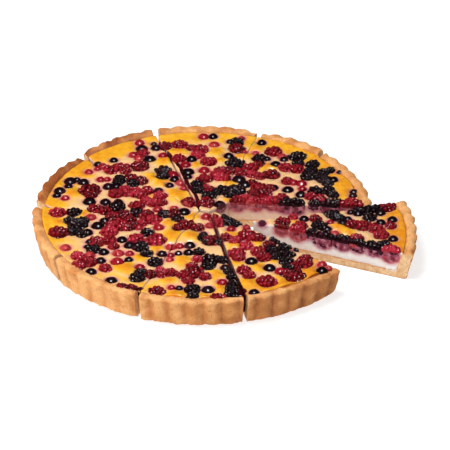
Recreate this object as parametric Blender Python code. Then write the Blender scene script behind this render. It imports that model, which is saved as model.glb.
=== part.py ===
"""Red berry tart, 28 cm across, cut into ten slices, with one slice drawn a little way out of the ring.

Every slice is a fluted shortcrust shell and a baked custard in it, and the largest berries sit in pockets
of the custard. All sizes are in metres, +Z is up and the tart rests on Z = 0.
"""

import math

import bmesh
import bpy
from mathutils import Matrix, Vector, noise

MM = 0.001

# The whole tart
RIM_R = 140.5 * MM
FOOT_R = 134.5 * MM
WALL_H = 25.4 * MM
BACK_LIFT = 0.8 * MM
WALL_T = 8.0 * MM
BASE_T = 7.5 * MM
CUSTARD_TOP = 22.6 * MM
CUSTARD_EDGE = 4.0 * MM
CUSTARD_EDGE_DROP = 0.6 * MM
CUSTARD_STEPS = 60

# The fluted wall
FLUTES = 62
STEPS_A_FLUTE = 4
FLUTE_DEPTH = 1.9 * MM
OUTLINE_WAVE = 0.7 * MM

# Clearance between pieces that touch
GAP = 0.3 * MM

# Faces that meet at less than this angle become one
FLAT = math.radians(0.2)

# The origin is the middle of the bounding box, which the drawn slice moves off the middle of the ring
RING_PLACE = Vector((-15.82 * MM, 0.76 * MM, 0))

# Where the rim has slumped beside a cut: angle in degrees, drop, half width in degrees
SLUMPS = ((70, 2.6 * MM, 5), (139, 2.4 * MM, 6), (175, 1.5 * MM, 5), (319, 2.6 * MM, 9), (5, 1.5 * MM, 6))

# The nine slices left in the ring, anticlockwise from the open slot. Each has the point of its tip on the
# right-hand cut, that cut's direction in degrees, the same for the left-hand cut, and how far it has slid.
RING_SLICES = (
    ((20.5, 15.6), -3.8, (20.5, 15.6), 43.0, (-3.6, 2.4)),
    ((4.6, 1.5), 44.9, (4.6, 1.5), 70.4, (0.8, 0.0)),
    ((3.6, 1.5), 72.2, (-2.6, 2.2), 105.3, (-0.6, 0.2)),
    ((-3.9, 2.6), 107.5, (-3.9, 2.6), 137.8, (0.4, 0.8)),
    ((-4.9, 2.3), 138.9, (-4.9, 2.3), 177.2, (1.8, -1.2)),
    ((-5.2, 1.2), 178.4, (-5.2, 1.2), 213.4, (0.4, -0.8)),
    ((-4.6, 0.2), 214.5, (-4.6, 0.2), 249.0, (0.2, -0.8)),
    ((-3.4, -0.3), 250.4, (4.6, -1.5), 281.0, (0.0, -1.0)),
    ((5.8, -1.3), 282.2, (10.5, -0.5), 317.2, (-0.4, -0.8)),
)

# Corners of the rim that broke away: the slice, then two points of a line that has the slice on its right
BROKEN_CORNERS = (
    (4, (-92.5, 83.0), (-101.5, 97.0)),
    (5, (-108.5, 88.2), (-97.0, 83.2)),
    (5, (-125.0, 7.5), (-138.5, 18.5)),
)

# The drawn slice: the cuts that freed it, then how it was turned about its tip and where the tip now lies
DRAWN_TIP = (11.5, 12.2)
DRAWN_CUTS = (-41.7, -5.7)
DRAWN_TURN = 18.5
DRAWN_TIP_NOW = (38.0, -14.8)

# Berries whole in the custard: x, y, width in millimetres from the middle of the ring
WHOLE_RASPBERRIES = (
    (59, 99, 15), (39, 71, 13), (49, 29, 15), (15, 66, 12), (4, 82, 13), (-2, 103, 13), (-20, 111, 13),
    (-53, 74, 15), (-93, 35, 19), (-55, 31, 16), (-72, 28, 12), (-40, 14, 13), (-116, -33, 16),
    (-67, -21, 18), (-38, -45, 17), (-91, -79, 14), (-8, -94, 17), (49, -107, 16), (79, -80, 14),
    (35, -38, 15), (128, -23, 14),
)
WHOLE_BRAMBLES = (
    (78, 91, 16), (92, 33, 14), (-33, 66, 14), (-101, -20, 16), (-52, -102, 12), (6, -74, 14),
    (-9, -119, 13), (18, -17, 10),
)

# Berries that the knife went through, on the right-hand cut of a slice: the slice, the distance from its
# tip along the cut, and the width
CUT_RASPBERRIES = ((1, 22, 11), (1, 94, 12), (10, 26, 11), (10, 40, 13), (10, 119, 14))
CUT_BRAMBLES = ((1, 54, 14), (10, 62, 15), (10, 91, 12))

# How deep a berry lies: its height for its width, and how much of it stands above the custard
BERRY_HEIGHT = 0.8
BERRY_PROUD = 1.6 * MM
BERRY_RELIEF = 0.05

# How far behind the cut the middle of a cut berry lies, in millimetres
CUT_BERRY_INSET = 1.0


def clear_scene():
    for obj in list(bpy.data.objects):
        bpy.data.objects.remove(obj)


def new_collection(name, hidden=False):
    collection = bpy.data.collections.new(name)
    collection.hide_render = hidden
    bpy.context.scene.collection.children.link(collection)
    return collection


def new_material(name, colour, roughness):
    material = bpy.data.materials.new(name)
    material.use_nodes = True
    shader = material.node_tree.nodes["Principled BSDF"]
    shader.inputs["Base Color"].default_value = (*colour, 1)
    shader.inputs["Roughness"].default_value = roughness
    shader.inputs["Metallic"].default_value = 0
    material.diffuse_color = (*colour, 1)
    return material


def direction(degrees):
    angle = math.radians(degrees)
    return Vector((math.cos(angle), math.sin(angle), 0))


def at_mm(x, y, z=0.0):
    return Vector((x * MM, y * MM, z))


def slump(degrees):
    """How far the rim has dropped at this angle."""
    drop = 0
    for middle, depth, width in SLUMPS:
        away = (degrees - middle + 180) % 360 - 180
        drop = max(drop, depth * math.exp(-((away / width) ** 2)))
    return drop


def flute(angle):
    """How far the wall is drawn in at this angle: round lobes with a sharp groove between each two."""
    return FLUTE_DEPTH * (1 - abs(math.cos(FLUTES * angle / 2)))


def spin_profile(points, steps):
    """A closed body turned from the (radius, height) points of half its section."""
    body = bmesh.new()
    ring = [body.verts.new((radius, 0, height)) for radius, height in points]
    edges = [body.edges.new(pair) for pair in zip(ring, ring[1:])]
    bmesh.ops.spin(
        body, geom=ring + edges, cent=(0, 0, 0), axis=(0, 0, 1), angle=math.tau, steps=steps, use_merge=True
    )
    bmesh.ops.remove_doubles(body, verts=body.verts, dist=0.01 * MM)
    bmesh.ops.recalc_face_normals(body, faces=body.faces)
    return body


def whole_crust():
    """The shell before it was cut: a base, a wall that leans out and a rounded rim, with the flutes outside."""
    inside = RIM_R - WALL_T
    body = spin_profile(
        (
            (0, 0),
            (FOOT_R, 0),
            (RIM_R - 0.4 * MM, WALL_H - 2.8 * MM),
            (RIM_R - 2.8 * MM, WALL_H),
            (inside + 0.8 * MM, WALL_H - 0.8 * MM),
            (inside - 0.4 * MM, CUSTARD_TOP - 0.4 * MM),
            (FOOT_R - WALL_T, BASE_T),
            (0, BASE_T),
        ),
        FLUTES * STEPS_A_FLUTE,
    )
    for vert in body.verts:
        radius = math.hypot(vert.co.x, vert.co.y)
        if radius < inside - 6 * MM:
            continue
        angle = math.atan2(vert.co.y, vert.co.x)
        if vert.co.z > CUSTARD_TOP:
            vert.co.z += BACK_LIFT * math.sin(angle) - slump(math.degrees(angle))
        share = max(0, min(1, (radius - (RIM_R - 6 * MM)) / (4 * MM)))
        if vert.co.z < 1 * MM:
            share = 0.8
        grown = OUTLINE_WAVE * math.sin(5 * angle + 1) * math.cos(2 * angle)
        factor = (radius + share * (grown - flute(angle))) / radius
        vert.co.x *= factor
        vert.co.y *= factor
    return body


def whole_custard():
    """The custard before it was cut, a hair smaller than the inside of the shell, lower along its edge."""
    lean = (RIM_R - FOOT_R) / WALL_H
    foot = FOOT_R - WALL_T - GAP
    edge = foot + lean * (CUSTARD_TOP - BASE_T) - 1.4 * MM
    return spin_profile(
        (
            (0, BASE_T + GAP),
            (foot, BASE_T + GAP),
            (edge, CUSTARD_TOP - CUSTARD_EDGE_DROP),
            (edge - CUSTARD_EDGE, CUSTARD_TOP),
            (0, CUSTARD_TOP),
        ),
        CUSTARD_STEPS,
    )


def cut_off(body, point, outward):
    """Cuts the body along an upright plane, takes away what lies outward and closes the cut."""
    bmesh.ops.bisect_plane(
        body,
        geom=body.verts[:] + body.edges[:] + body.faces[:],
        plane_co=point,
        plane_no=outward,
        clear_outer=True,
        dist=0.001 * MM,
    )
    open_edges = [edge for edge in body.edges if edge.is_boundary]
    bmesh.ops.holes_fill(body, edges=open_edges)


def cut_slice(whole, right_tip, right, left_tip, left, slide):
    """One slice of the whole body, between its right-hand and left-hand cuts, after it slid by slide."""
    body = whole.copy()
    bmesh.ops.translate(body, verts=body.verts, vec=slide)
    quarter = Matrix.Rotation(math.pi / 2, 3, "Z")
    cut_off(body, right_tip, -(quarter @ direction(right)))
    cut_off(body, left_tip, quarter @ direction(left))
    if right_tip != left_tip:
        cut_off(body, right_tip, quarter @ (left_tip - right_tip).normalized())
    bmesh.ops.dissolve_limit(body, angle_limit=FLAT, verts=body.verts, edges=body.edges)
    return body


def drawn_slice(whole):
    """The slice that was drawn out, cut in the ring and then turned and moved to where it lies."""
    tip = at_mm(*DRAWN_TIP)
    body = cut_slice(whole, tip, DRAWN_CUTS[0], tip, DRAWN_CUTS[1], Vector())
    move = (
        Matrix.Translation(at_mm(*DRAWN_TIP_NOW))
        @ Matrix.Rotation(math.radians(DRAWN_TURN), 4, "Z")
        @ Matrix.Translation(-tip)
    )
    bmesh.ops.transform(body, matrix=move, verts=body.verts)
    return body


def slice_bodies(whole):
    """The ten slices of one whole body."""
    bodies = []
    for right_tip, right, left_tip, left, slide in RING_SLICES:
        bodies.append(cut_slice(whole, at_mm(*right_tip), right, at_mm(*left_tip), left, at_mm(*slide)))
    for number, start, end in BROKEN_CORNERS:
        along = (at_mm(*end) - at_mm(*start)).normalized()
        cut_off(bodies[number - 1], at_mm(*start), Vector((-along.y, along.x, 0)))
    bodies.append(drawn_slice(whole))
    whole.free()
    return bodies


def berry_body(place, width, grown=0.0):
    """A berry lying on its side, a little uneven, with grown added all round."""
    body = bmesh.new()
    bmesh.ops.create_icosphere(body, subdivisions=2, radius=1)
    seed = Vector((place.x, place.y, 0)) / MM
    turn = Matrix.Rotation(seed.x + seed.y, 3, "Z")
    half = width / 2
    radii = Vector((half * 1.06 + grown, half * 0.96 + grown, half * BERRY_HEIGHT + grown))
    for vert in body.verts:
        relief = 1 + BERRY_RELIEF * noise.noise(vert.co * 2.1 + seed)
        long_end = 1 - 0.07 * vert.co.x
        vert.co = turn @ Vector(
            (
                vert.co.x * radii.x * relief,
                vert.co.y * radii.y * relief * long_end,
                vert.co.z * radii.z * relief * long_end,
            )
        )
    bmesh.ops.translate(body, verts=body.verts, vec=place)
    return body


def berry_place(x, y, width):
    """The middle of a berry that stands a little proud of the custard."""
    return at_mm(x, y, CUSTARD_TOP + BERRY_PROUD - width * MM * BERRY_HEIGHT / 2)


def add_object(name, body, material, collection, parent):
    mesh = bpy.data.meshes.new(name)
    body.to_mesh(mesh)
    body.free()
    mesh.materials.append(material)
    obj = bpy.data.objects.new(name, mesh)
    obj.parent = parent
    collection.objects.link(obj)
    return obj


def cut_pocket(custard, cutter):
    modifier = custard.modifiers.new(cutter.name, "BOOLEAN")
    modifier.operation = "DIFFERENCE"
    modifier.solver = "EXACT"
    modifier.object = cutter


def right_hand_cut(number):
    """The tip of a numbered slice, the direction of its right-hand cut and the way that cut faces."""
    if number > len(RING_SLICES):
        tip, degrees = at_mm(*DRAWN_TIP_NOW), DRAWN_CUTS[0] + DRAWN_TURN
    else:
        tip, degrees = at_mm(*RING_SLICES[number - 1][0]), RING_SLICES[number - 1][1]
    along = direction(degrees)
    return tip, along, Vector((along.y, -along.x, 0))


def slice_under(place):
    """The number of the slice that carries a berry, from the cuts on both sides of it."""
    tip = at_mm(*DRAWN_TIP_NOW)
    bearing = math.degrees(math.atan2(place.y - tip.y, place.x - tip.x))
    if DRAWN_CUTS[0] + DRAWN_TURN - 1 < bearing < DRAWN_CUTS[1] + DRAWN_TURN and place.x > tip.x:
        return len(RING_SLICES)
    for number, (right_tip, right, left_tip, left, _) in enumerate(RING_SLICES):
        on_left = direction(right).cross(place - at_mm(*right_tip)).z > 0
        on_right = direction(left).cross(place - at_mm(*left_tip)).z < 0
        if on_left and on_right:
            return number
    raise ValueError(f"no slice carries a berry at {place}")


def add_berry(name, place, width, material, custards, collections, parent, knife=None):
    """A berry in its own pocket. A knife (point, outward) cuts it flush with the side of the slice."""
    parts, cutters = collections
    body = berry_body(place, width)
    if knife:
        cut_off(body, *knife)
    obj = add_object(name, body, material, parts, parent)
    if not knife:
        obj.data.shade_smooth()
    pocket = berry_body(place, width, grown=1.5 * GAP)
    cutter = add_object(name + "_pocket", pocket, material, cutters, parent)
    cutter.hide_render = True
    cutter.display_type = "WIRE"
    cut_pocket(custards[slice_under(place)], cutter)


def add_slices(collections, ring):
    """The ten shells and the ten custards."""
    parts = collections[0]
    crust = new_material("pastry", (0.62, 0.33, 0.13), 0.75)
    custard = new_material("custard", (0.86, 0.56, 0.14), 0.35)
    for number, body in enumerate(slice_bodies(whole_crust()), 1):
        add_object(f"crust_slice_{number:02}", body, crust, parts, ring)
    custards = []
    for number, body in enumerate(slice_bodies(whole_custard()), 1):
        custards.append(add_object(f"custard_slice_{number:02}", body, custard, parts, ring))
    return custards


def add_berries(custards, collections, ring):
    """The large berries, whole ones first and then those on the front cut of the drawn slice."""
    red = new_material("raspberry", (0.35, 0.01, 0.02), 0.25)
    dark = new_material("bramble", (0.03, 0.004, 0.01), 0.2)
    kinds = (
        ("raspberry", red, WHOLE_RASPBERRIES, CUT_RASPBERRIES),
        ("bramble", dark, WHOLE_BRAMBLES, CUT_BRAMBLES),
    )
    for kind, material, whole, cut in kinds:
        for number, (x, y, width) in enumerate(whole, 1):
            place = berry_place(x, y, width)
            add_berry(f"{kind}_{number:02}", place, width * MM, material, custards, collections, ring)
        for number, (slice_number, distance, width) in enumerate(cut, 1):
            tip, along, outward = right_hand_cut(slice_number)
            spot = tip + (along * distance - outward * CUT_BERRY_INSET) * MM
            place = berry_place(spot.x / MM, spot.y / MM, width)
            name = f"{kind}_cut_{number:02}"
            add_berry(name, place, width * MM, material, custards, collections, ring, (tip, outward))


def main():
    clear_scene()
    collections = (new_collection("red_berry_tart"), new_collection("cutters", hidden=True))
    ring = bpy.data.objects.new("ring_middle", None)
    ring.location = RING_PLACE
    collections[0].objects.link(ring)
    custards = add_slices(collections, ring)
    add_berries(custards, collections, ring)


main()
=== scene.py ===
"""Red berry tart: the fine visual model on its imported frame, laid out as an add-on and run as a script.

Shapes are made in millimetres from the middle of the ring of slices, with +Z up and +Y away from the camera,
and go into the frame, which is in metres, when their meshes are finished.
"""

import math
import random

import bmesh
import bpy
import numpy as np
from bpy.props import FloatProperty, FloatVectorProperty, PointerProperty
from mathutils import Matrix, Vector, noise


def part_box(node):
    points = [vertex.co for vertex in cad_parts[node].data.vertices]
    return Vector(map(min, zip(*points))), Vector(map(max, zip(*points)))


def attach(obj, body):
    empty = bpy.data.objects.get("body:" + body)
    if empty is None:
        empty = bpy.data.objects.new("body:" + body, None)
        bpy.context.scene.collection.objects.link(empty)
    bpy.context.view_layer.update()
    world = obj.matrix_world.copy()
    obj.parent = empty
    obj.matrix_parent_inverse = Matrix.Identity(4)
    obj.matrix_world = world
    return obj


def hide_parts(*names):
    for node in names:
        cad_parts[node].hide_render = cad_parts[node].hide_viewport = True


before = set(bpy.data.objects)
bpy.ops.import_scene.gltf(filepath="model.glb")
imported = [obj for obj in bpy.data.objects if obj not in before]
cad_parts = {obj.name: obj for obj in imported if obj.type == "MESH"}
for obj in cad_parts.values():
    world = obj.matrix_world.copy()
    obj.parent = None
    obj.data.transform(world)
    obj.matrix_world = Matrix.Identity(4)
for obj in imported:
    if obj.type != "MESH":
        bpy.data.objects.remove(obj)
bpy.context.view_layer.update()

bl_info = {
    "name": "Red berry tart",
    "version": (1, 0, 0),
    "blender": (4, 5, 0),
    "location": "View3D > Sidebar > Tart",
    "description": "Builds a sliced custard tart with its fluted crust and its baked berries",
    "category": "Add Mesh",
}

MM = 0.001
RING_MIDDLE = Vector((-0.01582, 0.00076, 0.0))
TO_FRAME = Matrix.Translation(RING_MIDDLE) @ Matrix.Scale(MM, 4)

# The shell, in millimetres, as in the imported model
RIM_R = 140.5
FOOT_R = 134.5
WALL_H = 25.4
BACK_LIFT = 0.8
WALL_T = 8.0
CUSTARD_TOP = 22.6
CUSTARD_LEVEL = 22.7
FLUTES = 62
STEPS_A_FLUTE = 12
OUTLINE_WAVE = 0.7
SLUMPS = ((70, 2.6, 5), (139, 2.4, 6), (175, 1.5, 5), (319, 2.6, 9), (5, 1.5, 6))

# The nine slices left in the ring, anticlockwise from the open slot: the point of the tip on the right-hand
# cut, that cut's direction in degrees, the same for the left-hand cut, and how far the slice has slid
RING_SLICES = (
    ((20.5, 15.6), -3.8, (20.5, 15.6), 43.0, (-3.6, 2.4)),
    ((4.6, 1.5), 44.9, (4.6, 1.5), 70.4, (0.8, 0.0)),
    ((3.6, 1.5), 72.2, (-2.6, 2.2), 105.3, (-0.6, 0.2)),
    ((-3.9, 2.6), 107.5, (-3.9, 2.6), 137.8, (0.4, 0.8)),
    ((-4.9, 2.3), 138.9, (-4.9, 2.3), 177.2, (1.8, -1.2)),
    ((-5.2, 1.2), 178.4, (-5.2, 1.2), 213.4, (0.4, -0.8)),
    ((-4.6, 0.2), 214.5, (-4.6, 0.2), 249.0, (0.2, -0.8)),
    ((-3.4, -0.3), 250.4, (4.6, -1.5), 281.0, (0.0, -1.0)),
    ((5.8, -1.3), 282.2, (10.5, -0.5), 317.2, (-0.4, -0.8)),
)

# Corners of the rim that broke away: the slice, then two points of a line that has the slice on its right
BROKEN_CORNERS = (
    (4, (-92.5, 83.0), (-101.5, 97.0)),
    (5, (-108.5, 88.2), (-97.0, 83.2)),
    (5, (-125.0, 7.5), (-138.5, 18.5)),
)

# How wide each cleft stayed in the custard, anticlockwise from the one between the first two slices, and how
# far the custard stands back from the pastry where it has no neighbour
CLEFTS = (0.3, 0.5, 1.8, 0.3, 0.3, 0.25, 0.8, 1.7)
OPEN_CUT_INSET = 0.6

# The drawn slice: the cuts that freed it, how it was turned about its tip and where the tip now lies
DRAWN_TIP = (11.5, 12.2)
DRAWN_CUTS = (-41.7, -5.7)
DRAWN_TURN = 18.5
DRAWN_TIP_NOW = (38.0, -14.8)

# Berries that the knife went through, on the right-hand cut of a slice: the slice, the distance from its tip
# along the cut, the width, and how light it is from 0 to 1
CUT_RASPBERRIES = ((1, 22, 11, 0.9), (1, 94, 12, 0.5), (10, 26, 11, 0.1), (10, 40, 13, 0.8), (10, 119, 14, 1.0))
CUT_BRAMBLES = ((1, 54, 14, 0.3), (10, 62, 15, 0.6), (10, 91, 12, 0.4))
CUT_BERRY_INSET = 1.0

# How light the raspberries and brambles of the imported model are, in the order of their numbers
RASPBERRY_TONES = (
    0.4, 0.5, 0.3, 0.5, 0.6, 0.6, 0.5, 0.2, 0.25, 0.8, 0.4, 0.7, 0.2, 0.5, 0.6, 0.4, 0.15, 0.5, 0.4, 0.5, 0.4,
)
BRAMBLE_TONES = (0.3, 0.4, 0.6, 0.3, 0.3, 0.4, 0.3, 0.4)

# The smaller berries, read off the photograph: x, y and width in millimetres, then how light it is
RASPBERRIES = (
    (22, 66, 9, 0.2), (13, 56, 11, 0.85), (19, 53.5, 8, 0.6), (9.5, 61.5, 8, 0.8), (1, 54, 14, 0.5),
    (31, 63, 10, 0.5), (40, 60.5, 10, 0.7), (46.5, 57, 9, 0.5), (56, 61, 15, 0.2), (40, 45.5, 8, 0.3),
    (69, 49, 10, 0.5), (46, 38, 13, 0.35), (41, 30, 10, 0.3), (54, 37, 9, 0.3), (34, 21, 11, 0.9),
    (64, 22.5, 10, 0.5), (55.5, 18, 11, 0.8), (49, 18.5, 8, 0.5), (94.5, 19.5, 11, 0.6), (87, 23.5, 9, 0.6),
    (120, 12.5, 18, 0.5), (28, 104, 14, 0.2), (-10, 105, 9, 0.3), (-5, 93.5, 12, 0.85), (68, 71.5, 11, 0.6),
    (77, 69, 12, 0.5), (45, 77, 9, 0.3), (27.5, 16.8, 12, 0.35), (51.5, 15.5, 8, 0.9), (61, 15, 10, 0.4),
    (3, 14, 13, 0.3), (-11, 15, 14, 0.3), (4, 35.5, 9, 0.4), (-35, 25.5, 11, 0.85), (-54, 10, 13, 0.55),
    (-46.5, 17, 10, 0.7), (-34, 14.5, 9, 0.45), (-47, -5.5, 13, 0.3), (-41, -13, 14, 0.75), (-50, -19, 9, 0.8),
    (-57, -22, 10, 0.2), (-14, -21, 14, 0.3), (-21, -26.5, 8, 0.25), (-5, -26, 10, 0.2), (-25, -4.5, 11, 0.12),
    (-63, 31, 13, 0.6), (-46.5, 33, 11, 0.5), (-51, 25.5, 9, 0.5), (-60, 54, 12, 0.2), (-52, 50, 13, 0.25),
    (-65, 35.5, 9, 0.85), (-92, 25.5, 9, 0.2), (-88, 4.5, 12, 0.25), (-80, 1.5, 12, 0.2), (-73, -8, 11, 0.35),
    (-64.5, -6, 13, 0.2), (-74, -22, 10, 0.5), (-59, -13, 9, 0.2), (-75.5, -32, 14, 0.8), (-118, -2, 13, 0.7),
    (-77, 68, 12, 0.5), (-70, 72.5, 12, 0.5), (-65, 66, 9, 0.5), (-51, 96.5, 10, 0.5), (-33, 108, 12, 0.25),
    (-21, 87, 11, 0.6), (-99, -70, 11, 0.9), (-98, -84, 12, 0.5), (-85, -48, 14, 0.5), (-76, -45, 13, 0.5),
    (-71.5, -55, 8, 0.5), (-77, -88, 10, 0.5), (-60, -25, 10, 0.2), (-54, -42.5, 13, 0.75), (-41, -97, 10, 0.2),
    (-34, -92, 9, 0.9), (-33, -98.5, 7, 0.5), (-26, -94.5, 10, 0.5), (-64, -116, 9, 0.2), (-56, -118, 9, 0.2),
    (-36, -122, 13, 0.2), (-12, -106, 9, 0.5), (-15.5, -98, 11, 0.4), (1, -100.5, 10, 0.5), (-9, -85.5, 9, 0.4),
    (-5, -74.5, 8, 0.9), (10, -131, 10, 0.2), (6, -46, 14, 0.2), (17, -41, 10, 0.4), (12, -18, 13, 0.8),
    (8, -11, 9, 0.5), (26, -65, 14, 0.75), (27.5, -72, 10, 0.4), (31.5, -91, 11, 0.5), (35.5, -98.5, 10, 0.5),
    (25, -45.5, 10, 0.85), (43, -41.5, 12, 0.3), (34, -54, 11, 0.9), (44, -63, 13, 0.5), (47.5, -71.5, 12, 0.4),
    (71, -99, 17, 0.15), (64, -95, 10, 0.3), (80.5, -73, 10, 0.3), (52, -52, 9, 0.2), (73, -84, 10, 0.3),
    (120, -21, 13, 0.3), (137.5, -27, 13, 0.5), (141.5, -37, 12, 0.6), (121.5, -43, 12, 0.5), (149, 7, 14, 0.4),
    (150, -23, 9, 0.4), (63.5, -16, 12, 0.4), (72, -9, 7, 0.85), (90, -12, 9, 0.4), (77, -23, 12, 0.45),
)
BRAMBLES = (
    (17, 34, 13, 0.4), (27, 35, 15, 0.4), (22, 27.5, 11, 0.3), (28.5, 27, 9, 0.3), (11.5, 32, 8, 0.3),
    (-5, 43.5, 11, 0.4), (-4, 35, 10, 0.4), (4, 25.5, 12, 0.25), (67, 14, 13, 0.3), (101.5, 34, 13, 0.3),
    (105.5, 26.5, 9, 0.3), (103, 12, 14, 0.4), (109, 14, 8, 0.3), (97.5, 7.5, 10, 0.3), (90, 13, 9, 0.4),
    (133, 3, 13, 0.2), (126, 2, 9, 0.2), (140, 5, 10, 0.3), (104, -4.5, 12, 0.2), (108, -10, 11, 0.2),
    (86, 57, 12, 0.3), (93, 57.5, 11, 0.3), (99, 52, 12, 0.3), (102, 45.5, 9, 0.3), (100, 64, 9, 0.3),
    (104.5, 67, 8, 0.3), (88, 65.5, 14, 0.3), (90, 77.5, 12, 0.3), (78.5, 78.5, 9, 0.3), (27, 79, 17, 0.4),
    (46.5, 87.5, 12, 0.4), (28, 115, 11, 0.2), (-54, -2, 13, 0.4), (-32, -5, 10, 0.4), (-21, -12, 9, 0.5),
    (24, -20, 9, 0.3), (20, -11, 12, 0.3), (0, -42, 9, 0.3), (11, -48, 8, 0.3), (3, -47, 8, 0.3),
    (-45, -34, 10, 0.5), (-50, -55.5, 13, 0.4), (-68.5, 52, 12, 0.3), (-71, 46.5, 9, 0.3), (-58, 45.5, 10, 0.4),
    (-71, 7, 14, 0.3), (-108, -15, 9, 0.3), (-97, -15.5, 9, 0.3), (-104, -31, 12, 0.2), (-97.5, -36, 9, 0.3),
    (-34, 57, 11, 0.3), (-105, -1, 12, 0.3), (-87, -60, 11, 0.3), (-45, -65.5, 10, 0.3), (-38, -78.5, 13, 0.3),
    (-49, -94.5, 10, 0.3), (-4, -64, 9, 0.3), (3.5, -83.5, 12, 0.3), (-8.5, -130, 9, 0.3), (15, -75.5, 9, 0.3),
    (20, -93.5, 8, 0.3), (22, -101, 8, 0.3), (23, -110, 9, 0.3), (22, -118, 10, 0.2), (21.5, -126, 11, 0.2),
    (56, -46.5, 9, 0.3), (55, -61, 12, 0.3), (57, -70, 9, 0.3), (64, -56, 10, 0.3), (66, -67, 12, 0.3),
    (65, -77, 12, 0.3), (66, -86, 9, 0.3), (93, -22.5, 12, 0.3), (86.5, -33, 9, 0.2), (110, -44.3, 13, 0.4),
    (134, -53, 12, 0.3), (143, -52, 12, 0.3), (136, -58, 11, 0.3), (134, -9.5, 11, 0.3),
)
REDCURRANTS = (
    (-54, 114.5, 8), (-59, 93.5, 8), (-54, 88.5, 8), (-84, 74, 8), (-88, 70, 6), (-95, 64.5, 7), (-64, 75, 6),
    (0, 125.5, 9), (32, 122, 6), (9, 111.5, 9), (-15, 77.5, 9), (0.5, 68, 10), (-25, 60.5, 10), (-19, 46.5, 8),
    (-16, 37.5, 7), (-30, 63, 7), (66, 91, 8), (43.5, 96.5, 6), (34, 99, 5), (74, 47, 8), (80.5, 46, 9),
    (35, 67.5, 8), (27.5, 68, 7), (7, 36.5, 6), (38, 15.5, 8), (-34, 92.5, 8), (-85, 52, 7), (-79.5, 52.5, 6),
    (-113, 21.5, 7), (-91, -9, 9), (-37, 3.5, 8), (-24, 5, 7), (2, -8, 8), (5, -22, 8), (-36, -25, 9),
    (22, -27.5, 7), (-109.5, -56.5, 9), (-90, -68, 9), (-67.5, -64.5, 10), (-58.5, -65.5, 7), (-68, -77.5, 11),
    (-50, -86, 8), (-25, -116, 6), (-26, -68, 6), (-26.5, -74.5, 6), (14.5, -108.5, 8), (15, -130, 6),
    (60, -92, 9), (93, -82, 8), (98, -87.5, 5), (102, -17, 6), (35, -24.5, 7), (-26, -55, 9), (-19, -54, 7),
    (104.5, -36, 9), (-52, -25, 7), (81, 37, 7), (2, 41, 6),
)
BLACKCURRANTS = (
    (-52, 105.5, 11), (-45, 87.5, 11), (-75, 84.5, 7), (-88, 77.5, 7), (-40, 105.5, 9), (-42, 112.5, 5),
    (-10, 86.5, 9), (21, 92.5, 9), (-13, 65.5, 11), (8, 125.5, 8), (22, 116.5, 6), (49, 114.5, 8), (67, 86, 7),
    (53, 87, 6), (60, 78.5, 9), (113, 64, 6), (107, 51.5, 8), (29, 53.5, 12), (34, 44.5, 11), (57.5, 39, 8),
    (69, 36, 10), (79.5, 27.5, 9), (123, 31.5, 7), (122, 25.5, 7), (13, 12, 10), (-110, 50, 11), (-104.5, 52, 6),
    (-99, 48.5, 10), (-111, 41.5, 7), (-118, 33.5, 10), (-120, 26, 7), (-78.5, 40.5, 9), (-72, 41, 9),
    (-93, 16.5, 11), (-80, 15.5, 9), (-69.5, 15, 8), (-85, -22, 11), (-80, -15, 8), (-93, -33, 9), (-37, 33.5, 8),
    (-16, 0.5, 11), (-24, 52.5, 8), (-28, 42.5, 7), (-13, 57, 7), (0, -35, 6), (-11, -53, 9), (-88, -93, 9),
    (-81, -76, 8), (-79, -63, 9), (-92, -55, 6), (-91, -47, 6), (-59, -53, 9), (-65, -44, 9), (-59, -75, 7),
    (-72, -105, 10), (-33, -66, 8), (-12, -64, 8), (3.5, -118.5, 11), (17, -87, 8), (39, -124, 9), (37.5, -77, 10),
    (51.5, -87, 10), (92.5, -91, 9), (74, -59, 6), (47, -17.5, 6), (30, -18, 6), (81, -11.5, 8), (99, -27.5, 8),
    (112, -18, 8), (116, -12, 7), (125, -3, 8), (119, -1, 6), (143, -2, 8), (152, -13, 8), (142.5, -17, 8),
    (151, -43, 8), (151, -60, 8), (-20, -65, 6), (-19, -117, 6), (48, 79, 6),
)

# A sunken berry is this much wider than the part of it that shows
BERRY_SPREAD = 1.07

# The custard dips under each berry: how far, and over what share of the berry's radius. A drupelet that lies
# deeper than BURIED under the custard is left out.
DIP_DEPTH = 2.6
DIP_SHARE = 0.35
BURIED = 0.5

# The rings of a drupelet in degrees from its top, its sides, and the share of drupelets that are wet with juice
DRUPELET_RINGS = (32, 62, 96)
DRUPELET_SIDES = 8
WET_SHARE = 0.4

# On a cut face the drupelets stay whole from this far below the custard's level up, if their middle lies at
# least this share of their size behind the knife
TORN_BELOW = 0.8
TORN_BACK = 0.35

# How golden the custard is beside the rim, by the angle in degrees in the tart as it was baked
RIM_GOLD = (
    (0, 0.9), (40, 0.8), (75, 0.6), (110, 0.65), (140, 0.85), (170, 0.75), (192, 0.7), (208, 0.4), (225, 0.3),
    (245, 0.4), (262, 0.75), (280, 0.7), (300, 0.9), (315, 1.1), (330, 1.0),
)

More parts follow.
